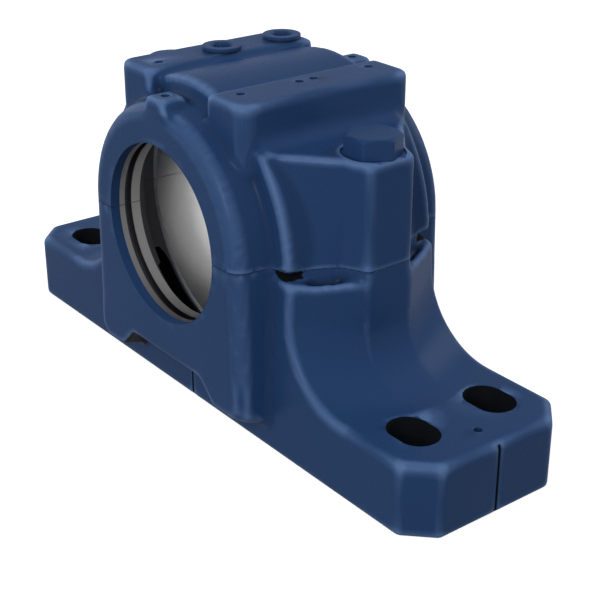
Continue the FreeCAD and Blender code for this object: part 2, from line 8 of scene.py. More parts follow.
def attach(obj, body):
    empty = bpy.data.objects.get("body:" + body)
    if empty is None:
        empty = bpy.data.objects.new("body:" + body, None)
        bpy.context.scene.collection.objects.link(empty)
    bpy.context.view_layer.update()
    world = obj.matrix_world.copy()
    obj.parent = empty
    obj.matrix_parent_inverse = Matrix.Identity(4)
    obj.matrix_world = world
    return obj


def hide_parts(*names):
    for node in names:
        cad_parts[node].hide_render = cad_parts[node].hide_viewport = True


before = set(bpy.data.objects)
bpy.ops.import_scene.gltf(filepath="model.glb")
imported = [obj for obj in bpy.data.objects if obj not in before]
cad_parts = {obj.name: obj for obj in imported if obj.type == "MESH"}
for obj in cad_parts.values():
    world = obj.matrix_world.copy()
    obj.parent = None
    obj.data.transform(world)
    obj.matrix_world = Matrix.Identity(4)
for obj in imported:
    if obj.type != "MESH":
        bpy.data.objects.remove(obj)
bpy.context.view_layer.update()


# Castings: base and cap of a split housing in grey iron, poured in sand moulds, so every corner
# that no tool has touched is round. Both are rebuilt from their CAD solids as one body whose
# corners are rolled smooth, and the bored, drilled and faced places are then cut sharp.
GRID = 0.65
ROOT_RADIUS = 1.4
EDGE_RADIUS = 1.2
LIP_RADIUS = 5.0
CRISP_RADIUS = 0.5
SHAFT_Z = 70.0
SPLIT_Z = 70.0
SPLIT_GAP = 0.1


def surface_of(mesh):
    """A mesh's corners in mm and its triangles as rows of three corner numbers."""
    corners = np.empty(len(mesh.vertices) * 3, np.float32)
    mesh.vertices.foreach_get("co", corners)
    mesh.calc_loop_triangles()
    triangles = np.empty(len(mesh.loop_triangles) * 3, np.int32)
    mesh.loop_triangles.foreach_get("vertices", triangles)
    return corners.reshape(-1, 3) * 1000, triangles.reshape(-1, 3).astype(np.uint32)


class DepthGrid:
    """Signed distance to a closed surface, in mm, on a cubic grid round the whole housing."""

    def __init__(self, low, high):
        self.start = np.floor(np.array(low) / GRID).astype(int)
        self.shape = tuple(np.ceil(np.array(high) / GRID).astype(int) - self.start)
        self.scale = openvdb.createLinearTransform(voxelSize=GRID)
        axes = [(self.start[axis] + np.arange(self.shape[axis])) * GRID for axis in range(3)]
        self.x, self.y, self.z = np.meshgrid(*axes, indexing="ij", sparse=True)

    def depth(self, points, triangles=None, quads=None, reach=4.0):
        """Signed distance to a closed surface at every grid point, held at reach beyond that."""
        grid = openvdb.FloatGrid.createLevelSetFromPolygons(
            points=np.ascontiguousarray(points, np.float32), triangles=triangles, quads=quads,
            transform=self.scale, halfWidth=reach / GRID)
        values = np.empty(self.shape, np.float32)
        grid.copyToArray(values, ijk=tuple(int(i) for i in self.start))
        return values

    def surface(self, values, level):
        """Corners and four-sided faces of the surface where the distance equals level."""
        grid = openvdb.FloatGrid(float(values.max()))
        grid.transform = self.scale
        grid.copyFromArray(values, ijk=tuple(int(i) for i in self.start))
        return grid.convertToQuads(isovalue=level)

    def shifted(self, values, offset, reach=2.0):
        """Distance to the surface moved out by offset and back again, which rolls corners round."""
        points, quads = self.surface(values, offset)
        band = abs(offset) + reach
        moved = self.depth(points, quads=quads, reach=band)
        points, quads = self.surface(moved, -offset)
        return self.depth(points, quads=quads, reach=band)


def turned(profile, steps=256, centre=(0.0, 0.0, SHAFT_Z), axis="y"):
    """Closed surface of a profile of (radius, place) pairs turned about an axis through centre.

    Corner k of the profile at turn t lies at radius_k * (cos t, sin t) across the axis and at
    place_k along it. The first and last corner lie on the axis.
    """
    radius, place = np.array(profile, float).T
    inner = slice(1, -1)
    turn = np.linspace(0, 2 * math.pi, steps, endpoint=False)
    across = radius[inner, None] * np.cos(turn), radius[inner, None] * np.sin(turn)
    along = np.broadcast_to(place[inner, None], across[0].shape)
    rings = np.stack([across[0], across[1], along], axis=-1).reshape(-1, 3)
    points = np.vstack([rings, [0, 0, place[0]], [0, 0, place[-1]]])
    count = len(radius) - 2
    ring = np.arange(steps)
    after = (ring + 1) % steps
    walls = [
        np.stack([k * steps + ring, k * steps + after, (k + 1) * steps + after, (k + 1) * steps + ring], 1)
        for k in range(count - 1)]
    first = np.stack([np.full(steps, count * steps), after, ring], 1)
    outermost = (count - 1) * steps
    last = np.stack([np.full(steps, count * steps + 1), outermost + ring, outermost + after], 1)
    if axis == "y":
        points = points[:, [1, 2, 0]]
    points = points + np.array(centre)
    faces = [f for wall in walls for f in wall.tolist()] + first.tolist() + last.tolist()
    return points, faces


def prism(outline, low, high, axis="z"):
    """Closed surface of a plane outline carried from low to high along an axis."""
    outline = np.array(outline, float)
    count = len(outline)
    level = np.repeat([low, high], count)[:, None]
    points = np.hstack([np.vstack([outline, outline]), level])
    near = np.arange(count)
    after = (near + 1) % count
    faces = np.stack([near, after, after + count, near + count], 1).tolist()
    faces += [near[::-1].tolist(), (near + count).tolist()]
    if axis == "y":
        points = points[:, [0, 2, 1]]
        faces = [face[::-1] for face in faces]
    return points, faces


def block(x_range, y_range, z_range):
    """Closed surface of a square block between two places on each axis."""
    (x0, x1), (y0, y1) = sorted(x_range), sorted(y_range)
    return prism([(x0, y0), (x1, y0), (x1, y1), (x0, y1)], *z_range)


def ring_of(radius, centre=(0.0, 0.0), steps=96, stretch=0.0):
    """Corners of a circle, or of a slot whose two half circles lie stretch apart along x."""
    turn = (np.arange(steps) + 0.5) * 2 * math.pi / steps
    x = centre[0] + radius * np.cos(turn) + np.sign(np.cos(turn)) * stretch / 2
    return np.stack([x, centre[1] + radius * np.sin(turn)], 1)


def joined(shapes):
    """One list of corners and one of faces for several closed surfaces that don't touch."""
    points, faces, count = [], [], 0
    for shape_points, shape_faces in shapes:
        points.append(shape_points)
        faces += [(np.array(face) + count).tolist() for face in shape_faces]
        count += len(shape_points)
    return np.vstack(points), faces


def piece_of(name, points, faces):
    """A piece in the scene, from corners in mm and faces as lists or rows of corner numbers."""
    mesh = bpy.data.meshes.new(name)
    faces = faces if isinstance(faces, list) else faces.tolist()
    mesh.from_pydata(np.asarray(points, float) / 1000, [], faces)
    mesh.update()
    piece = bpy.data.objects.new(name, mesh)
    bpy.context.scene.collection.objects.link(piece)
    return piece


def bake(piece):
    """Replace a piece's mesh by what its modifiers make of it."""
    graph = bpy.context.evaluated_depsgraph_get()
    graph.update()
    mesh = bpy.data.meshes.new_from_object(piece.evaluated_get(graph), depsgraph=graph)
    piece.modifiers.clear()
    piece.data = mesh


def carve(piece, shape, operation="DIFFERENCE"):
    """Cut a piece by a closed surface, or keep only what lies inside it."""
    tool = piece_of("tool", *shape)
    change = piece.modifiers.new("carve", "BOOLEAN")
    change.operation = operation
    change.solver = "MANIFOLD"
    change.object = tool
    bake(piece)
    bpy.data.objects.remove(tool)


GRID_LOW, GRID_HIGH = (-134, -54, -7), (134, 54, 135)
grid = DepthGrid(GRID_LOW, GRID_HIGH)
solids = [grid.depth(*surface_of(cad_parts[node].data)) for node in ("base_casting", "cap_casting")]
body = np.minimum(*solids)
from_axis = np.hypot(grid.x, grid.z - SHAFT_Z)


def plug_along_y(radius, half_length, below=None):
    """Depth of a round bar about the shaft's axis, cut off above a height where one is given."""
    core = np.maximum(from_axis - radius, np.abs(grid.y) - half_length)
    return core if below is None else np.maximum(core, grid.z - below)


def plug_along_z(x, y, radius, low, high):
    """Depth of an upright round bar."""
    across = np.hypot(grid.x - x, grid.y - y) - radius
    return np.maximum(across, np.maximum(low - grid.z, grid.z - high))


MOUTH_RADIUS, PAINTED_LIP = 33.4, 43.3
GROOVE_RADIUS, THROAT_RADIUS = 36.5, 40.0
CHAMBER_RADIUS, SEAT_RADIUS = 51.0, 50.0
CHAMFER_Y, SEAT_Y = 17.3, 16.5
BOLT_X = 61.5
SHELF_Z = 108.3
SPOT_Z, SPOT_RADIUS = 107.5, 11.19
DOWEL_X, DOWEL_Y = 55.8, 14.5
SLOT_X, SLOT_Y, SLOT_RADIUS, SLOT_STRAIGHT = 105.0, 17.5, 7.5, 5.0
LEVER_X, LEVER_Z, LEVER_Y = 54.0, 69.2, 26.0
LEVER_HALF_WIDTH, LEVER_HALF_HEIGHT = 4.0, 2.4
FOOT_Z = 27.4
PAD_Z = 124.5
TAB_Y, TAB_Z = 41.75, 120.4
PLUG_X, PLUG_YS = -26.0, (0.0, 28.0)
END_MARK_X, SIDE_MARK_Y, SIDE_MARK_TOP, MARK_HALF_WIDTH = 126.8, 34.5, 22.3, 0.5
BORE_BARS = ((53, 31), (57, 31, 45), (41, 36), (37.5, 42), (35, 46.99))
DIMPLES = [(25.5, -28.0, PAD_Z), (25.5, -3.1, PAD_Z), (25.5, 3.1, PAD_Z), (25.5, 28.0, PAD_Z),
           (-25.5, -28.0, PAD_Z), (0.0, -TAB_Y, TAB_Z), (0.0, TAB_Y, TAB_Z),
           (117.3, 0.0, FOOT_Z), (-117.3, 0.0, FOOT_Z)]


def fillers():
    """The bars that fill holes before the corners are rolled, so that the holes can be cut sharp.

    They come one at a time, because the depths of each take as much memory as the whole grid.
    """
    for bar in BORE_BARS:
        yield plug_along_y(*bar)
    for way in (-1, 1):
        yield plug_along_z(BOLT_X * way, 0, 8, 42, SHELF_Z)
        yield plug_along_z(BOLT_X * way, 0, 10.2, 100, SHELF_Z)
        for lean in (-1, 1):
            yield plug_along_z(DOWEL_X * way, DOWEL_Y * lean, 4, 60, 79)
            for shift in (-SLOT_STRAIGHT / 2, 0, SLOT_STRAIGHT / 2):
                yield plug_along_z(SLOT_X * way + shift, SLOT_Y * lean, SLOT_RADIUS + 1, 0, FOOT_Z)
    for y in PLUG_YS:
        yield plug_along_z(PLUG_X, y, 6, 100, PAD_Z)
    for x, y, top in DIMPLES:
        yield plug_along_z(x, y, 2.4, top - 3, top)


for filler in fillers():
    body = np.minimum(body, filler)
body = body.astype(np.float32)
points, quads = grid.surface(body, 0.0)
body = grid.depth(points, quads=quads, reach=ROOT_RADIUS + 2)
body = grid.shifted(body, ROOT_RADIUS, reach=LIP_RADIUS + 2)
crisp = grid.shifted(body, -CRISP_RADIUS)
lips = grid.shifted(body, -LIP_RADIUS)
body = grid.shifted(body, -EDGE_RADIUS)

# The lips of the end rings are rounder than the rest, and the tabs on them sharper. Each share
# runs from 0 to 1 over a few mm.
ring_share = np.clip((np.abs(grid.y) - 38) / 3, 0, 1) * np.clip((grid.z - 25) / 6, 0, 1)
tab_share = np.clip((np.abs(grid.y) - 33.5) / 1.5, 0, 1) * np.clip((grid.z - 112) / 4, 0, 1)
tab_share = tab_share * np.clip((17 - np.abs(grid.x)) / 3, 0, 1)
body = body + (lips - body) * ring_share
body = (body + (crisp - body) * tab_share).astype(np.float32)
points, quads = grid.surface(body, 0.0)
whole = piece_of("whole", points, quads.astype(np.int64))
even = whole.modifiers.new("even", "SMOOTH")
even.iterations = 3
fewer = whole.modifiers.new("fewer", "DECIMATE")
fewer.ratio = 0.42
bake(whole)

# Bore: mouths, seal grooves, lands, throats, chambers and the bearing seat, from the front.
half_bore = [
    (MOUTH_RADIUS, 60), (MOUTH_RADIUS, PAINTED_LIP), (MOUTH_RADIUS, 41), (GROOVE_RADIUS, 41),
    (GROOVE_RADIUS, 38.2), (MOUTH_RADIUS, 38.2), (MOUTH_RADIUS, 34.4), (THROAT_RADIUS, 34.4),
    (THROAT_RADIUS, 28.5), (CHAMBER_RADIUS, 24.5), (CHAMBER_RADIUS, CHAMFER_Y), (SEAT_RADIUS, SEAT_Y)]
bore_profile = [(0, 60)] + half_bore + [(r, -y) for r, y in reversed(half_bore)] + [(0, -60)]
carve(whole, turned(bore_profile[::-1]))

# Every other cut: sumps, slots, bolt, dowel and plug holes, lever slots, dimples and centre marks.
SUMP_RADIUS, SUMP_TOP = 56.0, 44.0
sump_turn = np.radians(np.linspace(-152.34, -27.66, 64))
sump_outline = np.stack([SUMP_RADIUS * np.cos(sump_turn), SHAFT_Z + SUMP_RADIUS * np.sin(sump_turn)], 1)
sump_corner = np.radians(np.linspace(90, 0, 12))
SUMP_START, SUMP_END = -30.0, -18.2
CORNER_REACH, CORNER_HEIGHT = 7, 9
sump_side = [(SUMP_START, -5), (SUMP_START, SUMP_TOP - 1)]
sump_side += [(SUMP_END - CORNER_REACH + CORNER_REACH * math.cos(a),
               SUMP_TOP + 2 - CORNER_HEIGHT + CORNER_HEIGHT * math.sin(a)) for a in sump_corner]
sump_side += [(SUMP_END, -5)]
sump = piece_of("sump", *prism(sump_outline, SUMP_START, SUMP_END, "y"))
side_points, side_faces = prism(sump_side[::-1], -60, 60)
carve(sump, (side_points[:, [2, 0, 1]], side_faces), "INTERSECT")
sump_points, sump_faces = surface_of(sump.data)
bpy.data.objects.remove(sump)
cuts = [(sump_points, sump_faces), (sump_points * [1, -1, 1], sump_faces[:, ::-1])]
lever_turns = np.linspace(0, 2 * math.pi, 32, endpoint=False)
bolt_way = [(0, 43.6), (6.15, 43.6), (6.15, SPLIT_Z), (6.75, SPLIT_Z), (6.75, SPOT_Z),
            (SPOT_RADIUS, SPOT_Z), (SPOT_RADIUS, 115), (0, 115)]
dowel_way = [(0, 62.5), (2.6, 62.5), (2.6, 77.5), (0, 77.5)]
plug_way = [(0, 95), (3, 95), (3, 117), (5.15, 117), (5.15, 128), (0, 128)]
for way in (-1, 1):
    cuts.append(turned(bolt_way, 96, (BOLT_X * way, 0, 0), "z"))
    cuts.append(turned(dowel_way, 48, (DOWEL_X * way, -DOWEL_Y * way, 0), "z"))
    for lean in (-1, 1):
        slot = ring_of(SLOT_RADIUS, (SLOT_X * way, SLOT_Y * lean), 96, SLOT_STRAIGHT)
        cuts.append(prism(slot, -5, 40))
        lever = [(LEVER_X * way + LEVER_HALF_WIDTH * way * math.cos(turn),
                  LEVER_Z + LEVER_HALF_HEIGHT * math.sin(turn)) for turn in lever_turns]
        cuts.append(prism(lever[::way * lean], *sorted((LEVER_Y * lean, 34 * lean)), "y"))
for y in PLUG_YS:
    cuts.append(turned(plug_way, 64, (PLUG_X, y, 0), "z"))
for x, y, top in DIMPLES:
    dimple = [(0, top - 1.6), (1.2, top - 1.3), (1.6, top - 0.3), (1.6, top + 2), (0, top + 2)]
    cuts.append(turned(dimple, 32, (x, y, 0), "z"))
mark = (-MARK_HALF_WIDTH, MARK_HALF_WIDTH)
for way in (-1, 1):
    cuts.append(block((END_MARK_X * way, 129 * way), mark, (-1, 30)))
    cuts.append(block(mark, (SIDE_MARK_Y * way, 36 * way), (-1, SIDE_MARK_TOP)))
carve(whole, joined(cuts))

# The one body is parted at the split, with a gap that shows as a thin dark line, and its
# underside is milled flat.
BIG = 200
upper = whole.copy()
upper.data = whole.data.copy()
upper.name = "cap_cast"
bpy.context.scene.collection.objects.link(upper)
square = [(-BIG, -BIG), (BIG, -BIG), (BIG, BIG), (-BIG, BIG)]
carve(upper, prism(square, SPLIT_Z + SPLIT_GAP, BIG), "INTERSECT")
carve(whole, prism(square, 0, SPLIT_Z - SPLIT_GAP), "INTERSECT")
whole.name = "base_cast"


def linear(code):
    """Linear colour of an sRGB hex code.

    Each part is c / 12.92 below 0.04045, and ((c + 0.055) / 1.055) ** 2.4 above it.
    """
    parts = [int(code[i:i + 2], 16) / 255 for i in (0, 2, 4)]
    return [c / 12.92 if c < 0.04045 else ((c + 0.055) / 1.055) ** 2.4 for c in parts] + [1.0]


def add(tree, kind, links=(), **settings):
    """One node with its settings and incoming links, each a pair of socket and source."""
    node = tree.nodes.new(kind)
    for name, value in settings.items():
        setattr(node, name, value)
    for socket, source in links:
        if hasattr(source, "is_output"):
            tree.links.new(source, node.inputs[socket])
        else:
            node.inputs[socket].default_value = source
    return node


def new_material(name, **shader_values):
    """A material with its node tree, its Principled shader and the object's own coordinates."""
    material = bpy.data.materials.new(name)
    material.use_nodes = True
    tree = material.node_tree
    shader = tree.nodes["Principled BSDF"]
    for socket, value in shader_values.items():
        shader.inputs[socket.replace("_", " ")].default_value = value
    coordinates = add(tree, "ShaderNodeTexCoord").outputs["Object"]
    return material, tree, shader, coordinates


# Satin enamel sprayed over primed iron. It fills the sand's grain, so what shows is a faint
# orange peel of 1 mm, the casting's own waviness of 9 mm and small shifts of tone. Outer edges and
# lips get a paler blue as a painted highlight, and the roots between faces a darker blue as painted
# shade, both led by how far the surface bulges.
enamel, tree, shader, place = new_material(
    "satin_blue_enamel_on_cast_iron", Roughness=0.6, Specular_IOR_Level=0.03, Coat_Weight=0.1)
peel = add(tree, "ShaderNodeTexNoise", [("Vector", place), ("Scale", 1000.0), ("Detail", 2.0)])
wave = add(tree, "ShaderNodeTexNoise", [("Vector", place), ("Scale", 110.0), ("Detail", 2.0)])
tone = add(tree, "ShaderNodeTexNoise", [("Vector", place), ("Scale", 28.0), ("Detail", 3.0)])
flat = add(tree, "ShaderNodeMix", data_type="RGBA", links=[
    (0, tone.outputs["Fac"]), (6, linear("2A4876")), (7, linear("2F5081"))])
# Painted light: the bulge turns outer edges and lips paler (painted highlight) and roots darker (painted
# shade).
bulge = add(tree, "ShaderNodeAttribute", attribute_name="edge").outputs["Fac"]
painted_highlight_share = add(tree, "ShaderNodeMapRange", [("Value", bulge), ("From Min", 0.02), ("From Max", 0.25)])
painted_shade_share = add(tree, "ShaderNodeMapRange", [("Value", bulge), ("From Min", -0.03), ("From Max", -0.3)])
# Painted highlight: paler blue 6485BA on bulging edges and lips.
outer = add(tree, "ShaderNodeMix", data_type="RGBA", links=[
    (0, painted_highlight_share.outputs["Result"]), (6, flat.outputs[2]), (7, linear("6485BA"))])
# Painted shade: darker blue 1A2E50 in the roots between faces.
colours = add(tree, "ShaderNodeMix", data_type="RGBA", links=[
    (0, painted_shade_share.outputs["Result"]), (6, outer.outputs[2]), (7, linear("1A2E50"))])
gloss = add(tree, "ShaderNodeMapRange", [("Value", peel.outputs["Fac"]), ("To Min", 0.24), ("To Max", 0.32)])
waviness = add(tree, "ShaderNodeBump", [
    ("Height", wave.outputs["Fac"]), ("Strength", 0.15), ("Distance", 0.0002)])
relief = add(tree, "ShaderNodeBump", [
    ("Height", peel.outputs["Fac"]), ("Strength", 0.1), ("Distance", 0.00004),
    ("Normal", waviness.outputs["Normal"])])
tree.links.new(colours.outputs[2], shader.inputs["Base Color"])
tree.links.new(gloss.outputs["Result"], shader.inputs["Coat Roughness"])
tree.links.new(relief.outputs["Normal"], shader.inputs["Coat Normal"])
tree.links.new(relief.outputs["Normal"], shader.inputs["Normal"])


# Grey iron turned on a boring mill: fine feed marks round the shaft, 0.35 to 0.9 mm apart here so
# that they show, and the grey of graphite in the metal.
def turned_iron(name, colour, rough, feed):
    """Material with its highlights drawn out across the feed marks, whose pitch is feed in mm."""
    material, tree, shader, place = new_material(name, Metallic=1.0, Anisotropic=0.75)
    from_shaft = add(tree, "ShaderNodeVectorMath", [(0, place), (1, (0, 0, SHAFT_Z / 1000))],
                     operation="SUBTRACT")
    round_shaft = add(tree, "ShaderNodeVectorMath", [(0, from_shaft.outputs["Vector"]), (1, (0, 1, 0))],
                      operation="CROSS_PRODUCT")
    tree.links.new(round_shaft.outputs["Vector"], shader.inputs["Tangent"])
    along = add(tree, "ShaderNodeSeparateXYZ", [("Vector", place)]).outputs["Y"]
    line = add(tree, "ShaderNodeCombineXYZ", [("X", along)]).outputs["Vector"]
    marks = add(tree, "ShaderNodeTexNoise", [("Vector", line), ("Scale", 1000 / feed), ("Detail", 1.0)])
    stain = add(tree, "ShaderNodeTexNoise", [("Vector", place), ("Scale", 60.0), ("Detail", 3.0)])
    tint = add(tree, "ShaderNodeMix", data_type="RGBA", links=[
        (0, stain.outputs["Fac"]), (6, linear(colour[0])), (7, linear(colour[1]))])
    gloss = add(tree, "ShaderNodeMapRange", [
        ("Value", marks.outputs["Fac"]), ("To Min", rough - 0.05), ("To Max", rough + 0.07)])
    relief = add(tree, "ShaderNodeBump", [
        ("Height", marks.outputs["Fac"]), ("Strength", 0.12), ("Distance", 0.00002)])
    tree.links.new(tint.outputs[2], shader.inputs["Base Color"])
    tree.links.new(gloss.outputs["Result"], shader.inputs["Roughness"])
    tree.links.new(relief.outputs["Normal"], shader.inputs["Normal"])
    return material


bored = turned_iron("grey_iron_bored", ("B6B5B4", "CCCBCA"), 0.32, 0.6)
seat = turned_iron("grey_iron_fine_bored_seat", ("D6D6D6", "E4E4E4"), 0.24, 0.35)
milled = turned_iron("grey_iron_milled", ("A5A3A1", "B5B3B1"), 0.4, 0.8)
# Painted shade: the chambers' turned iron is a darker copy of the bored iron, 55555A to 66666A.
shaded_bored_iron = turned_iron("grey_iron_bored_with_painted_shade", ("55555A", "66666A"), 0.36, 0.9)
# Painted highlight: the seat's chamfer is a near-white copy of the iron, F4F4F4 to FCFCFC, for a bright
# line.
chamfer_highlight_iron = turned_iron("grey_iron_chamfer_painted_highlight", ("F4F4F4", "FCFCFC"), 0.5, 0.6)

# Painted shade: a dull, nearly black finish on the deep places where shade falls, the oil sumps,
# the walls of the foot slots and lever slots, the centre marks and the underside of the overhanging
# rings. It has a grain of 1.4 mm.
recess_shade, tree, shader, place = new_material(
    "near_black_painted_shade_on_iron", Roughness=0.75, Specular_IOR_Level=0.1)
grain = add(tree, "ShaderNodeTexNoise", [("Vector", place), ("Scale", 700.0), ("Detail", 3.0)])
# Painted shade: nearly black 0A0D12 to 141920.
shade = add(tree, "ShaderNodeMix", data_type="RGBA", links=[
    (0, grain.outputs["Fac"]), (6, linear("0A0D12")), (7, linear("141920"))])
relief = add(tree, "ShaderNodeBump", [
    ("Height", grain.outputs["Fac"]), ("Strength", 0.6), ("Distance", 0.0002)])
tree.links.new(shade.outputs[2], shader.inputs["Base Color"])
tree.links.new(relief.outputs["Normal"], shader.inputs["Normal"])

FINISHES = (enamel, bored, seat, milled, recess_shade, shaded_bored_iron, chamfer_highlight_iron)
ENAMEL, BORED, SEAT, MILLED, PAINTED_SHADE, SHADED_CHAMBER, PAINTED_CHAMFER_HIGHLIGHT = range(len(FINISHES))


def mark_edges(mesh, passes=4):
    """Store at each corner how far the surface bulges there, as the attribute edge in 1 / mm.

    Along an edge from i to j the bulge is (n_j - n_i) . (p_j - p_i) / |p_j - p_i|^2. A corner takes
    the mean over its edges, and is then evened out with its neighbours. The enamel turns it into
    painted highlight and painted shade, which are kept off the bored mouths, the split, the centre
    marks and the lever slots, so it is 0 there.
    """
    count = len(mesh.vertices)
    place, normal = np.empty(count * 3, np.float32), np.empty(count * 3, np.float32)
    mesh.vertices.foreach_get("co", place)
    mesh.vertices.foreach_get("normal", normal)
    pairs = np.empty(len(mesh.edges) * 2, np.int32)
    mesh.edges.foreach_get("vertices", pairs)
    place, normal = place.reshape(-1, 3) * 1000, normal.reshape(-1, 3)
    i, j = pairs.reshape(-1, 2).T
    step = place[j] - place[i]
    bulge = ((normal[j] - normal[i]) * step).sum(1) / np.maximum((step ** 2).sum(1), 1e-4)
    meet = np.maximum(np.bincount(i, minlength=count) + np.bincount(j, minlength=count), 1)
    value = (np.bincount(i, bulge, count) + np.bincount(j, bulge, count)) / meet
    x, y, z = np.abs(place[:, 0]), np.abs(place[:, 1]), place[:, 2]
    rolled = np.hypot(x, z - SHAFT_Z) > MOUTH_RADIUS + 0.5
    rolled &= np.abs(z - SPLIT_Z) > 2 * SPLIT_GAP
    rolled &= (x > 0.8) | (np.abs(y - SIDE_MARK_Y - 0.5) > 1) | (z > 30)
    rolled &= (y > 0.8) | (x < END_MARK_X - 0.2)
    rolled &= (np.abs(z - 68.4) > 1.7) | (np.abs(x - LEVER_X) > LEVER_HALF_WIDTH + 0.3)
    value = np.clip(value, -0.8, 0.8) * rolled
    for _ in range(passes):
        beside = (np.bincount(i, value[j], count) + np.bincount(j, value[i], count)) / meet
        value = (value + beside) / 2 * rolled
    mesh.attributes.new("edge", "FLOAT", "POINT").data.foreach_set("value", value.astype(np.float32))


def finish_of(mesh):
    """Number of the finish of each face, from how far its middle lies from each cut."""
    middle = np.empty(len(mesh.polygons) * 3, np.float32)
    mesh.polygons.foreach_get("center", middle)
    x, y, z = middle.reshape(-1, 3).T * 1000
    normal = np.empty(len(mesh.polygons) * 3, np.float32)
    mesh.polygons.foreach_get("normal", normal)
    up = normal.reshape(-1, 3)[:, 2]
    out, aside, along = np.hypot(x, z - SHAFT_Z), np.abs(x), np.abs(y)
    steps = np.array(half_bore[2:] + [(SEAT_RADIUS, 0)], float)
    nearest = np.full(len(x), 9.0)
    for (r0, y0), (r1, y1) in zip(steps[:-1], steps[1:]):
        span = np.array([r1 - r0, y1 - y0])
        share = np.clip(((out - r0) * span[0] + (along - y0) * span[1]) / (span @ span), 0, 1)
        miss = np.hypot(out - r0 - share * span[0], along - y0 - share * span[1])
        nearest = np.minimum(nearest, miss)
    finish = np.full(len(x), ENAMEL, np.int32)
    turned_here = nearest < 0.2
    in_mouth = (np.abs(out - MOUTH_RADIUS) < 0.15) & (along < PAINTED_LIP)
    in_seat = (along < CHAMFER_Y + 0.1) & (out < CHAMBER_RADIUS - 0.05)
    in_chamfer = (along < CHAMFER_Y + 0.05) & (along > SEAT_Y + 0.05)
    in_chamfer &= (out > SEAT_RADIUS + 0.05) & (out < CHAMBER_RADIUS - 0.02)
    finish[turned_here | in_mouth] = BORED
    # Painted shade on the chamber walls.
    finish[turned_here & (out > MOUTH_RADIUS + 0.6)] = SHADED_CHAMBER
    finish[turned_here & in_seat] = SEAT
    # Painted highlight on the seat's chamfer.
    finish[turned_here & in_chamfer] = PAINTED_CHAMFER_HIGHLIGHT
    # Painted shade in the sumps.
    in_sump = (z < SUMP_TOP + 2.1) & (out > 40.5) & (out < SUMP_RADIUS + 0.2)
    in_sump &= (along > -SUMP_END - 0.1) & (along < 0.1 - SUMP_START)
    finish[in_sump & (nearest > 0.2)] = PAINTED_SHADE
    finish[(np.abs(z - SPLIT_Z) < 0.15) & (np.abs(up) > 0.9)] = MILLED
    finish[(z < 0.2) & (up < -0.9)] = MILLED
    # Painted shade on the walls of the foot slots.
    from_slot = np.hypot(np.maximum(np.abs(aside - SLOT_X) - SLOT_STRAIGHT / 2, 0), along - SLOT_Y)
    finish[(from_slot < SLOT_RADIUS + 0.05) & (np.abs(up) < 0.5) & (z < FOOT_Z)] = PAINTED_SHADE
    # Painted shade in the lever slots, the centre marks and under the overhanging rings.
    in_lever = ((aside - LEVER_X) / LEVER_HALF_WIDTH) ** 2 + ((z - LEVER_Z) / LEVER_HALF_HEIGHT) ** 2 < 1.06
    in_lever &= (along > LEVER_Y - 0.1) & (z < SPLIT_Z - 0.15)
    side_mark = (aside < MARK_HALF_WIDTH + 0.02) & (along > SIDE_MARK_Y - 0.1) & (along < 36.2) & (z < 30)
    end_mark = (along < MARK_HALF_WIDTH + 0.02) & (aside > END_MARK_X - 0.1) & (z < 28)
    under_ring = (up < -0.35) & (z < 24) & (z > 1) & (along > 35.2) & (along < 46.6) & (aside < 34)
    finish[in_lever | side_mark | end_mark | under_ring] = PAINTED_SHADE
    return finish


for piece in (whole, upper):
    piece.data.materials.clear()
    for finish in FINISHES:
        piece.data.materials.append(finish)
    piece.data.polygons.foreach_set("material_index", finish_of(piece.data))
    piece.data.shade_smooth()
    piece.data.set_sharp_from_angle(angle=math.radians(32))
    # The bulge stored here drives the enamel's painted highlight and painted shade.
    mark_edges(piece.data)
    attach(piece, "root")
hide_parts("base_casting")
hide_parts("cap_casting")


# Cap bolts and lubrication plugs: hexagons forged or pressed in steel, run down hard and painted
# over with the casting, which rounds their corners by the thickness of the paint.
def hexagonal(profile, centre, steps=240, power=44.0):
    """Closed surface of rows (radius, height, share of hexagon, slope) turned about a vertical axis.

    At turn t the hexagon's outline is 1 / max cos(t - 60 k), its corners rounded by a power mean.
    Radius and height become r * (1 + share * (outline - 1)) and h - slope * (new radius - r).
    """
    radius, height, share, slope = np.array(profile, float).T[:, :, None]
    turn = np.linspace(0, 2 * math.pi, steps, endpoint=False)
    sides = np.cos(turn[:, None] - math.pi / 6 - np.arange(6) * math.pi / 3)
    outline = np.sum(np.maximum(sides, 0) ** power, axis=1) ** (-1 / power)
    wide = radius * (1 + share * (outline - 1))
    level = height - slope * (wide - radius)
    rows = np.stack([wide * np.cos(turn), wide * np.sin(turn), level + 0 * turn], axis=-1)
    count = len(profile)
    points = rows.reshape(-1, 3) + np.array(centre)
    ring = np.arange(steps)
    after = (ring + 1) % steps
    faces = [f for k in range(count - 1) for f in np.stack(
        [k * steps + ring, k * steps + after, (k + 1) * steps + after, (k + 1) * steps + ring], 1).tolist()]
    faces.append(ring[::-1].tolist())
    faces.append(((count - 1) * steps + ring).tolist())
    return points, faces


def rounded_profile(rows, radius, steps=5):
    """The rows with each inner corner replaced by a curve that starts radius before it.

    Between corner a - b - c the curve is (1 - s)^2 p + 2 s (1 - s) b + s^2 q, with p and q the
    points radius from b towards a and c.
    """
    rows = np.array(rows, float)
    out = [rows[0]]
    for before, corner, after in zip(rows[:-2], rows[1:-1], rows[2:]):
        back, ahead = before - corner, after - corner
        start = corner + back * min(0.45, radius / np.hypot(*back[:2]))
        stop = corner + ahead * min(0.45, radius / np.hypot(*ahead[:2]))
        s = np.linspace(0, 1, steps)[:, None]
        out.extend((1 - s) ** 2 * start + 2 * s * (1 - s) * corner + s ** 2 * stop)
    out.append(rows[-1])
    return out


def dress(piece, node, finish):
    """Give a small piece its one finish and its place in the frame."""
    piece.data.materials.append(finish)
    piece.data.shade_smooth()
    piece.data.set_sharp_from_angle(angle=math.radians(50))
    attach(piece, "root")
    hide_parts(node)


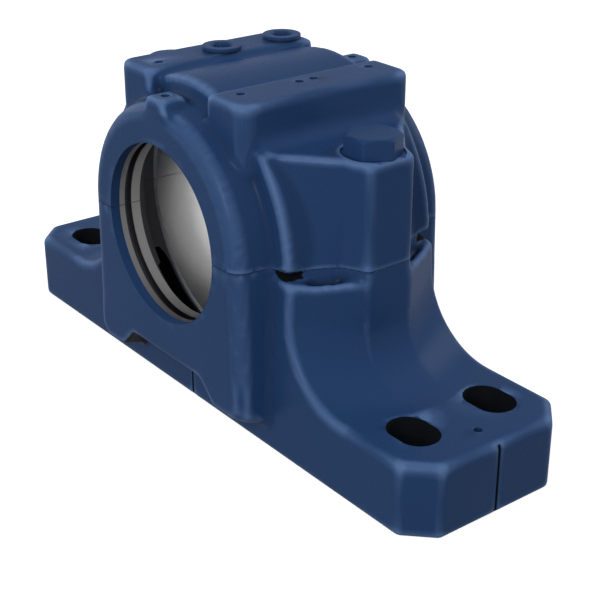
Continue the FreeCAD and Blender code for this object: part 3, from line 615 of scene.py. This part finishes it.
SLOPE = 1 / math.sqrt(3)
bolt_rows = [(0.5, 46.7, 0, 0), (4.8, 46.7, 0, 0), (5.98, 47.9, 0, 0), (5.98, SPOT_Z + 0.05, 0, 0),
             (8.95, SPOT_Z + 0.05, 1, 0), (8.95, SPOT_Z + 7.2, 1, SLOPE), (8.45, SPOT_Z + 7.45, 0, 0),
             (0.5, SPOT_Z + 7.45, 0, 0)]
for side, way in (("right", 1), ("left", -1)):
    bolt_shape = hexagonal(rounded_profile(bolt_rows, 0.45), (BOLT_X * way, 0, 0))
    bolt = piece_of(f"painted_bolt_{side}", *bolt_shape)
    dress(bolt, f"cap_bolt_{side}", enamel)

COLLAR_LOW, COLLAR_TOP, COLLAR_RADIUS = PAD_Z + 0.5, PAD_Z + 1.8, 7.4
plug_rows = [(0.4, 117.6, 0, 0), (4.98, 117.6, 0, 0), (4.98, COLLAR_LOW, 0, 0),
             (COLLAR_RADIUS, COLLAR_LOW, 0, 0), (COLLAR_RADIUS, COLLAR_TOP, 0, 0),
             (4.05, COLLAR_TOP, 0.4, 0), (3.5, COLLAR_TOP - 0.8, 1, 0),
             (3.5, COLLAR_TOP - 4, 1, 0), (0.4, COLLAR_TOP - 4, 0, 0)]
for name, y in zip(("centre", "back"), PLUG_YS):
    plug_shape = hexagonal(rounded_profile(plug_rows, 0.3), (PLUG_X, y, 0))
    plug = piece_of(f"painted_plug_{name}", *plug_shape)
    dress(plug, f"plug_{name}", enamel)

# Sealing rings: black rubber washers, squeezed between the plug's collar and the pad.
rubber, tree, shader, place = new_material("black_rubber_moulded", Roughness=0.7)
bloom = add(tree, "ShaderNodeTexNoise", [("Vector", place), ("Scale", 900.0), ("Detail", 2.0)])
shade = add(tree, "ShaderNodeMix", data_type="RGBA", links=[
    (0, bloom.outputs["Fac"]), (6, linear("0E0F12")), (7, linear("1A1B1F"))])
tree.links.new(shade.outputs[2], shader.inputs["Base Color"])


def washer(inner, outer, low, high, centre, steps=96, sides=16):
    """Closed ring whose section is a rectangle of the given reach with rounded corners.

    At side angle a the section's point is middle + half * sign(cos a) |cos a|^0.4 across and
    the same with sin a in height.
    """
    side = np.linspace(0, 2 * math.pi, sides, endpoint=False)
    wide = np.sign(np.cos(side)) * np.abs(np.cos(side)) ** 0.4
    tall = np.sign(np.sin(side)) * np.abs(np.sin(side)) ** 0.4
    across = (inner + outer) / 2 + (outer - inner) / 2 * wide
    level = (low + high) / 2 + (high - low) / 2 * tall
    turn = np.linspace(0, 2 * math.pi, steps, endpoint=False)[:, None]
    points = np.stack([across * np.cos(turn), across * np.sin(turn), level + 0 * turn], -1).reshape(-1, 3)
    near, far = np.arange(steps)[:, None] * sides, (np.arange(steps)[:, None] + 1) % steps * sides
    here, there = np.arange(sides), (np.arange(sides) + 1) % sides
    faces = np.stack([near + here, far + here, far + there, near + there], -1).reshape(-1, 4)
    return points + np.array(centre), faces


for name, y in zip(("centre", "back"), PLUG_YS):
    ring = piece_of(f"rubber_ring_{name}", *washer(5.2, 7.0, PAD_Z, PAD_Z + 0.5, (PLUG_X, y, 0)))
    dress(ring, f"seal_ring_{name}", rubber)

# Dowels: hardened steel pins, ground all over, half in each casting and hidden when it is closed.
# The grinding's streaks are drawn 0.4 mm wide.
ground, tree, shader, place = new_material("hardened_steel_ground", Metallic=1.0)
streak = add(tree, "ShaderNodeTexNoise", [("Vector", place), ("Scale", 2500.0), ("Detail", 1.0)])
shade = add(tree, "ShaderNodeMix", data_type="RGBA", links=[
    (0, streak.outputs["Fac"]), (6, linear("A9A9A8")), (7, linear("BDBDBB"))])
gloss = add(tree, "ShaderNodeMapRange", [
    ("Value", streak.outputs["Fac"]), ("To Min", 0.18), ("To Max", 0.26)])
tree.links.new(shade.outputs[2], shader.inputs["Base Color"])
tree.links.new(gloss.outputs["Result"], shader.inputs["Roughness"])
for side in ("right", "left"):
    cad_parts[f"dowel_{side}"].data.materials.clear()
    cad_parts[f"dowel_{side}"].data.materials.append(ground)

# Floor: a white sheet that keeps the housing's soft shadow. Camera and mirror rays see it nearly
# white, and to light bounced off it it is darker, as in a studio with black cloth beside the sheet.
FLOOR_REACH = 3000
floor_corners = [(FLOOR_REACH * x, FLOOR_REACH * y, 0) for x, y in ((-1, -1), (1, -1), (1, 1), (-1, 1))]
floor = piece_of("floor", floor_corners, [[0, 1, 2, 3]])


def seen_directly(tree):
    """1 for camera, glossy and transmission rays, and 0 for light that is bounced about."""
    path = add(tree, "ShaderNodeLightPath").outputs
    either = add(tree, "ShaderNodeMath", operation="MAXIMUM", links=[
        (0, path["Is Camera Ray"]), (1, path["Is Glossy Ray"])])
    any_of_them = add(tree, "ShaderNodeMath", operation="MAXIMUM", links=[
        (0, either.outputs["Value"]), (1, path["Is Transmission Ray"])])
    return any_of_them.outputs["Value"]


sheet, tree, shader, place = new_material("white_matt_sheet", Roughness=0.9, Specular_IOR_Level=0.1)
seen = seen_directly(tree)
tint = add(tree, "ShaderNodeMix", data_type="RGBA", links=[
    (0, seen), (6, linear("3A3A3A")), (7, linear("F2F2F2"))])
glow = add(tree, "ShaderNodeMapRange", [("Value", seen), ("To Min", 0.0), ("To Max", 0.75)])
shader.inputs["Emission Color"].default_value = (1, 1, 1, 1)
tree.links.new(tint.outputs[2], shader.inputs["Base Color"])
tree.links.new(glow.outputs["Result"], shader.inputs["Emission Strength"])
floor.data.materials.append(sheet)

# Camera: from the front right and above, 0.54 m away, as fitted to the housing's edges.
camera_data = bpy.data.cameras.new("camera")
camera_data.lens = 79.995
camera_data.sensor_width = 36
camera = bpy.data.objects.new("camera", camera_data)
bpy.context.scene.collection.objects.link(camera)
azimuth, elevation, roll = math.radians(52.2313), math.radians(25.3345), math.radians(0.0235)
aside = math.cos(elevation)
back = Vector((math.sin(azimuth) * aside, -math.cos(azimuth) * aside, math.sin(elevation)))
aim = back.to_track_quat("Z", "Y").to_matrix() @ Matrix.Rotation(roll, 3, "Z")
camera.location = (0.379627, -0.277247, 0.253041)
camera.rotation_euler = aim.to_euler()
bpy.context.scene.camera = camera

# Light: a white room that is seen at full strength and lights at a quarter of it, with a tall soft
# box at the front right and broad ones behind and at the left, clear of the tops' mirror direction.
world = bpy.data.worlds.new("studio")
bpy.context.scene.world = world
world.use_nodes = True
tree = world.node_tree
background = tree.nodes["Background"]
strength = add(tree, "ShaderNodeMapRange", [
    ("Value", seen_directly(tree)), ("To Min", 0.25), ("To Max", 1.0)])
background.inputs["Color"].default_value = (1, 1, 1, 1)
tree.links.new(strength.outputs["Result"], background.inputs["Strength"])
bpy.context.scene.view_settings.view_transform = "Standard"
MIDDLE = Vector((0, 0, 0.05))


def softbox(name, size, power, place):
    """A lamp with a rectangular face, turned to the middle of the housing."""
    light = bpy.data.lights.new(name, "AREA")
    light.shape = "RECTANGLE"
    light.size, light.size_y = size
    light.energy = power
    lamp = bpy.data.objects.new(name, light)
    bpy.context.scene.collection.objects.link(lamp)
    lamp.location = place
    lamp.rotation_euler = (Vector(place) - MIDDLE).to_track_quat("Z", "Y").to_euler()


softbox("key", (0.3, 0.6), 6.8, (0.62, -1.02, 0.72))
softbox("back", (0.8, 0.6), 4.5, (0.2, 1.2, 0.7))
softbox("left", (0.8, 0.6), 3.0, (-1.25, -0.2, 0.45))
